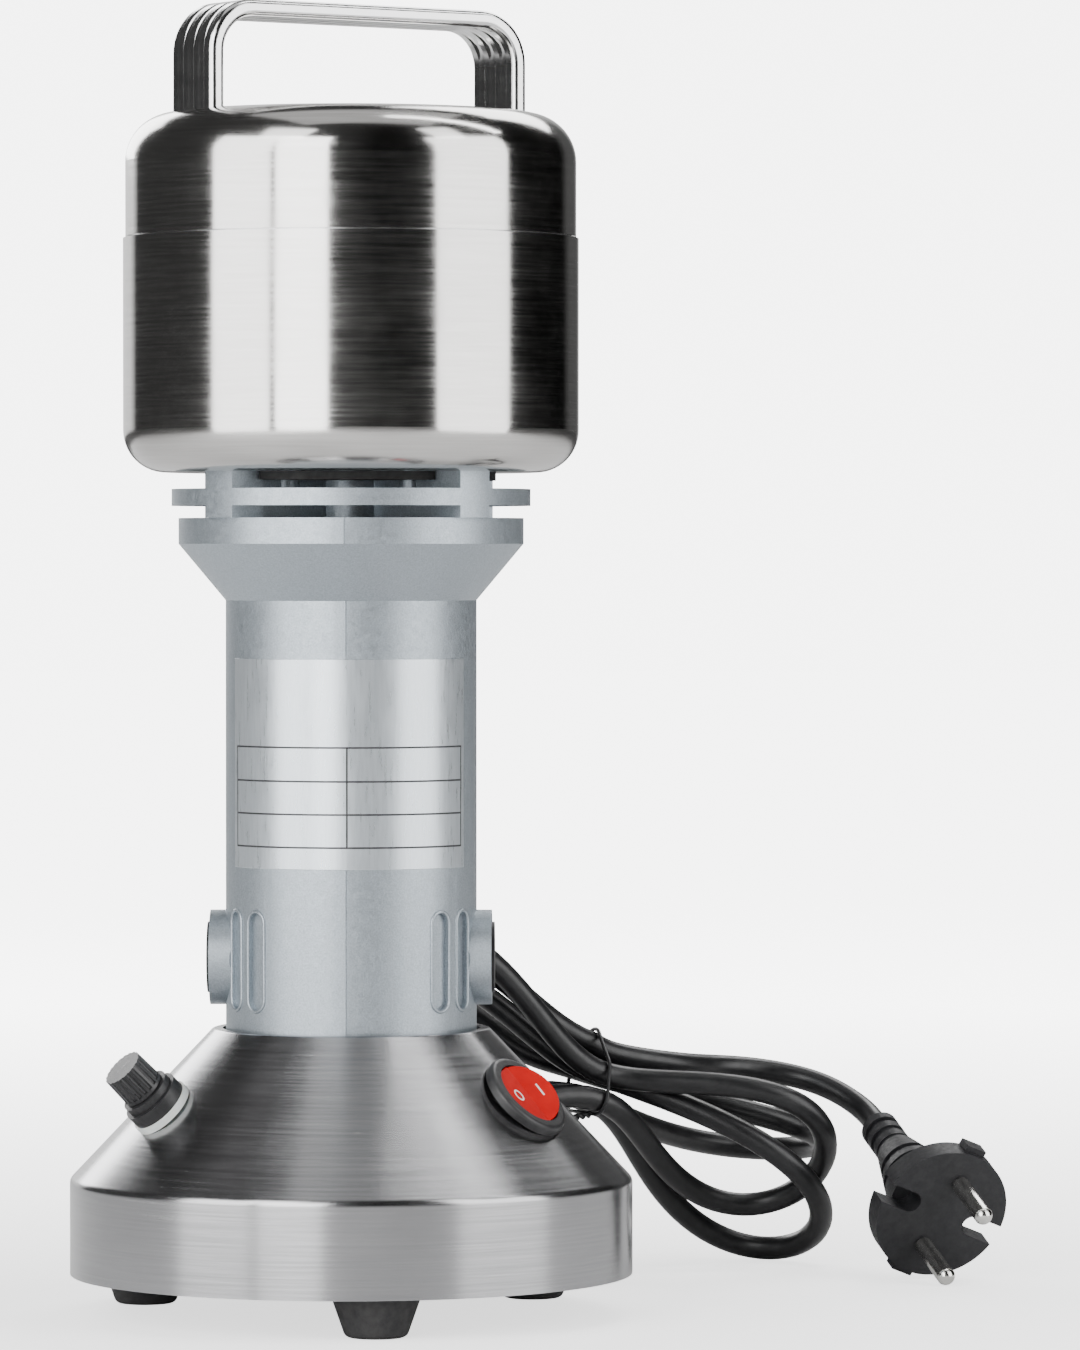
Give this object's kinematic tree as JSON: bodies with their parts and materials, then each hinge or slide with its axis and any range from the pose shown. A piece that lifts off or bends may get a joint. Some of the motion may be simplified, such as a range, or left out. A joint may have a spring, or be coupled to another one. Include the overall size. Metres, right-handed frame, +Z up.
{
  "type": "electric powder grinder",
  "caption": "Bench powder grinder: steel bowl with screw lid and strap handle on a motor column, conical base with rocker switch and fuse holder, and a tied mains cord.",
  "frame": {"origin": "On the table, on the column's axis", "axes": "+Z up, front of the column at -Y, switch on the right at +X"},
  "size_m": [0.2376, 0.2203, 0.3246],
  "materials": {
    "polished_steel": "polished with faint turning lines",
    "brushed_base": "brushed",
    "bright_chrome": "polished",
    "machined_alloy": "machined",
    "seal_rubber": "matt",
    "plain_steel": "plain",
    "blade_steel": "ground",
    "iron_core": "laminated",
    "copper_wire": "enamelled",
    "black_moulding": "matt",
    "holder_brass": "plain",
    "carbon": "matt",
    "silver_paint": "fine texture",
    "foot_rubber": "matt",
    "switch_black": "gloss",
    "switch_red": "gloss",
    "white_nylon": "matt",
    "fuse_knob_grey": "matt",
    "fuse_glass": "clear",
    "cord_sheath": "satin",
    "tie_wrap": "satin",
    "nickel": "bright"
  },
  "bodies": {
    "stand": {"bowl": "polished_steel", "bowl_mouth_ring": "machined_alloy", "bowl_gasket": "seal_rubber", "bowl_screws": "plain_steel", "shaft_seal": "seal_rubber", "bearing_outer_rings": "plain_steel", "bearing_balls": "plain_steel", "stator_core": "iron_core", "field_coils": "copper_wire", "brush_holders": "holder_brass", "carbon_brushes": "carbon", "brush_springs": "plain_steel", "brush_caps": "black_moulding", "neck_bracket": "silver_paint", "neck_screws": "plain_steel", "housing_left": "silver_paint", "housing_right": "silver_paint", "column_screws": "plain_steel", "base_cover": "brushed_base", "base_plate": "plain_steel", "plate_screws": "plain_steel", "foot_1": "foot_rubber", "foot_2": "foot_rubber", "foot_3": "foot_rubber", "foot_screws": "plain_steel", "switch_body": "switch_black", "switch_tabs": "holder_brass", "fuse_washer": "white_nylon", "fuse_body": "black_moulding", "fuse_nut": "black_moulding", "cord_gland": "black_moulding", "cord_lead_in": "cord_sheath", "cord_hank": "cord_sheath", "cord_lead_out": "cord_sheath", "cord_tie": "tie_wrap", "plug_body": "black_moulding", "plug_pins": "nickel"},
    "lid_gasket": {"lid_seal": "seal_rubber"},
    "lid": {"lid_shell": "polished_steel", "lid_liner": "machined_alloy", "lid_handle": "bright_chrome", "handle_screws": "plain_steel"},
    "rotor": {"motor_shaft": "plain_steel", "armature_core": "iron_core", "armature_winding": "copper_wire", "commutator": "copper_wire", "cooling_fan": "black_moulding", "bearing_inner_rings": "plain_steel", "lower_blade": "blade_steel", "upper_blade": "blade_steel", "blade_sleeves": "plain_steel", "blade_nut": "plain_steel"},
    "rocker": {"switch_rocker": "switch_red"},
    "fuse": {"fuse_link": "fuse_glass"},
    "fuse_knob": {"fuse_cap": "fuse_knob_grey"}
  },
  "joints": [
    {"name": "lid_lift", "type": "slide", "parent": "stand", "child": "lid_gasket", "axis": [0, 0, 1], "range_m": [0, 0.08]},
    {"name": "lid_turn", "type": "hinge", "parent": "lid_gasket", "child": "lid", "pos_m": [0, 0, 0.28], "axis": [0, 0, 1], "range_deg": [0, 60]},
    {"name": "rotor_spin", "type": "hinge", "parent": "stand", "child": "rotor", "pos_m": [0, 0, 0.13], "axis": [0, 0, 1], "continuous": true},
    {"name": "switch_rock", "type": "hinge", "parent": "stand", "child": "rocker", "pos_m": [0.04366, -0.02521, 0.05558], "axis": [-0.5963, 0.3442, 0.7252], "range_deg": [0, 18]},
    {"name": "fuse_draw", "type": "slide", "parent": "stand", "child": "fuse", "axis": [-0.6281, -0.3626, 0.6885], "range_m": [0, 0.03]},
    {"name": "fuse_turn", "type": "hinge", "parent": "fuse", "child": "fuse_knob", "pos_m": [-0.04512, -0.02605, 0.05236], "axis": [-0.6281, -0.3626, 0.6885], "range_deg": [0, 90]}
  ]
}
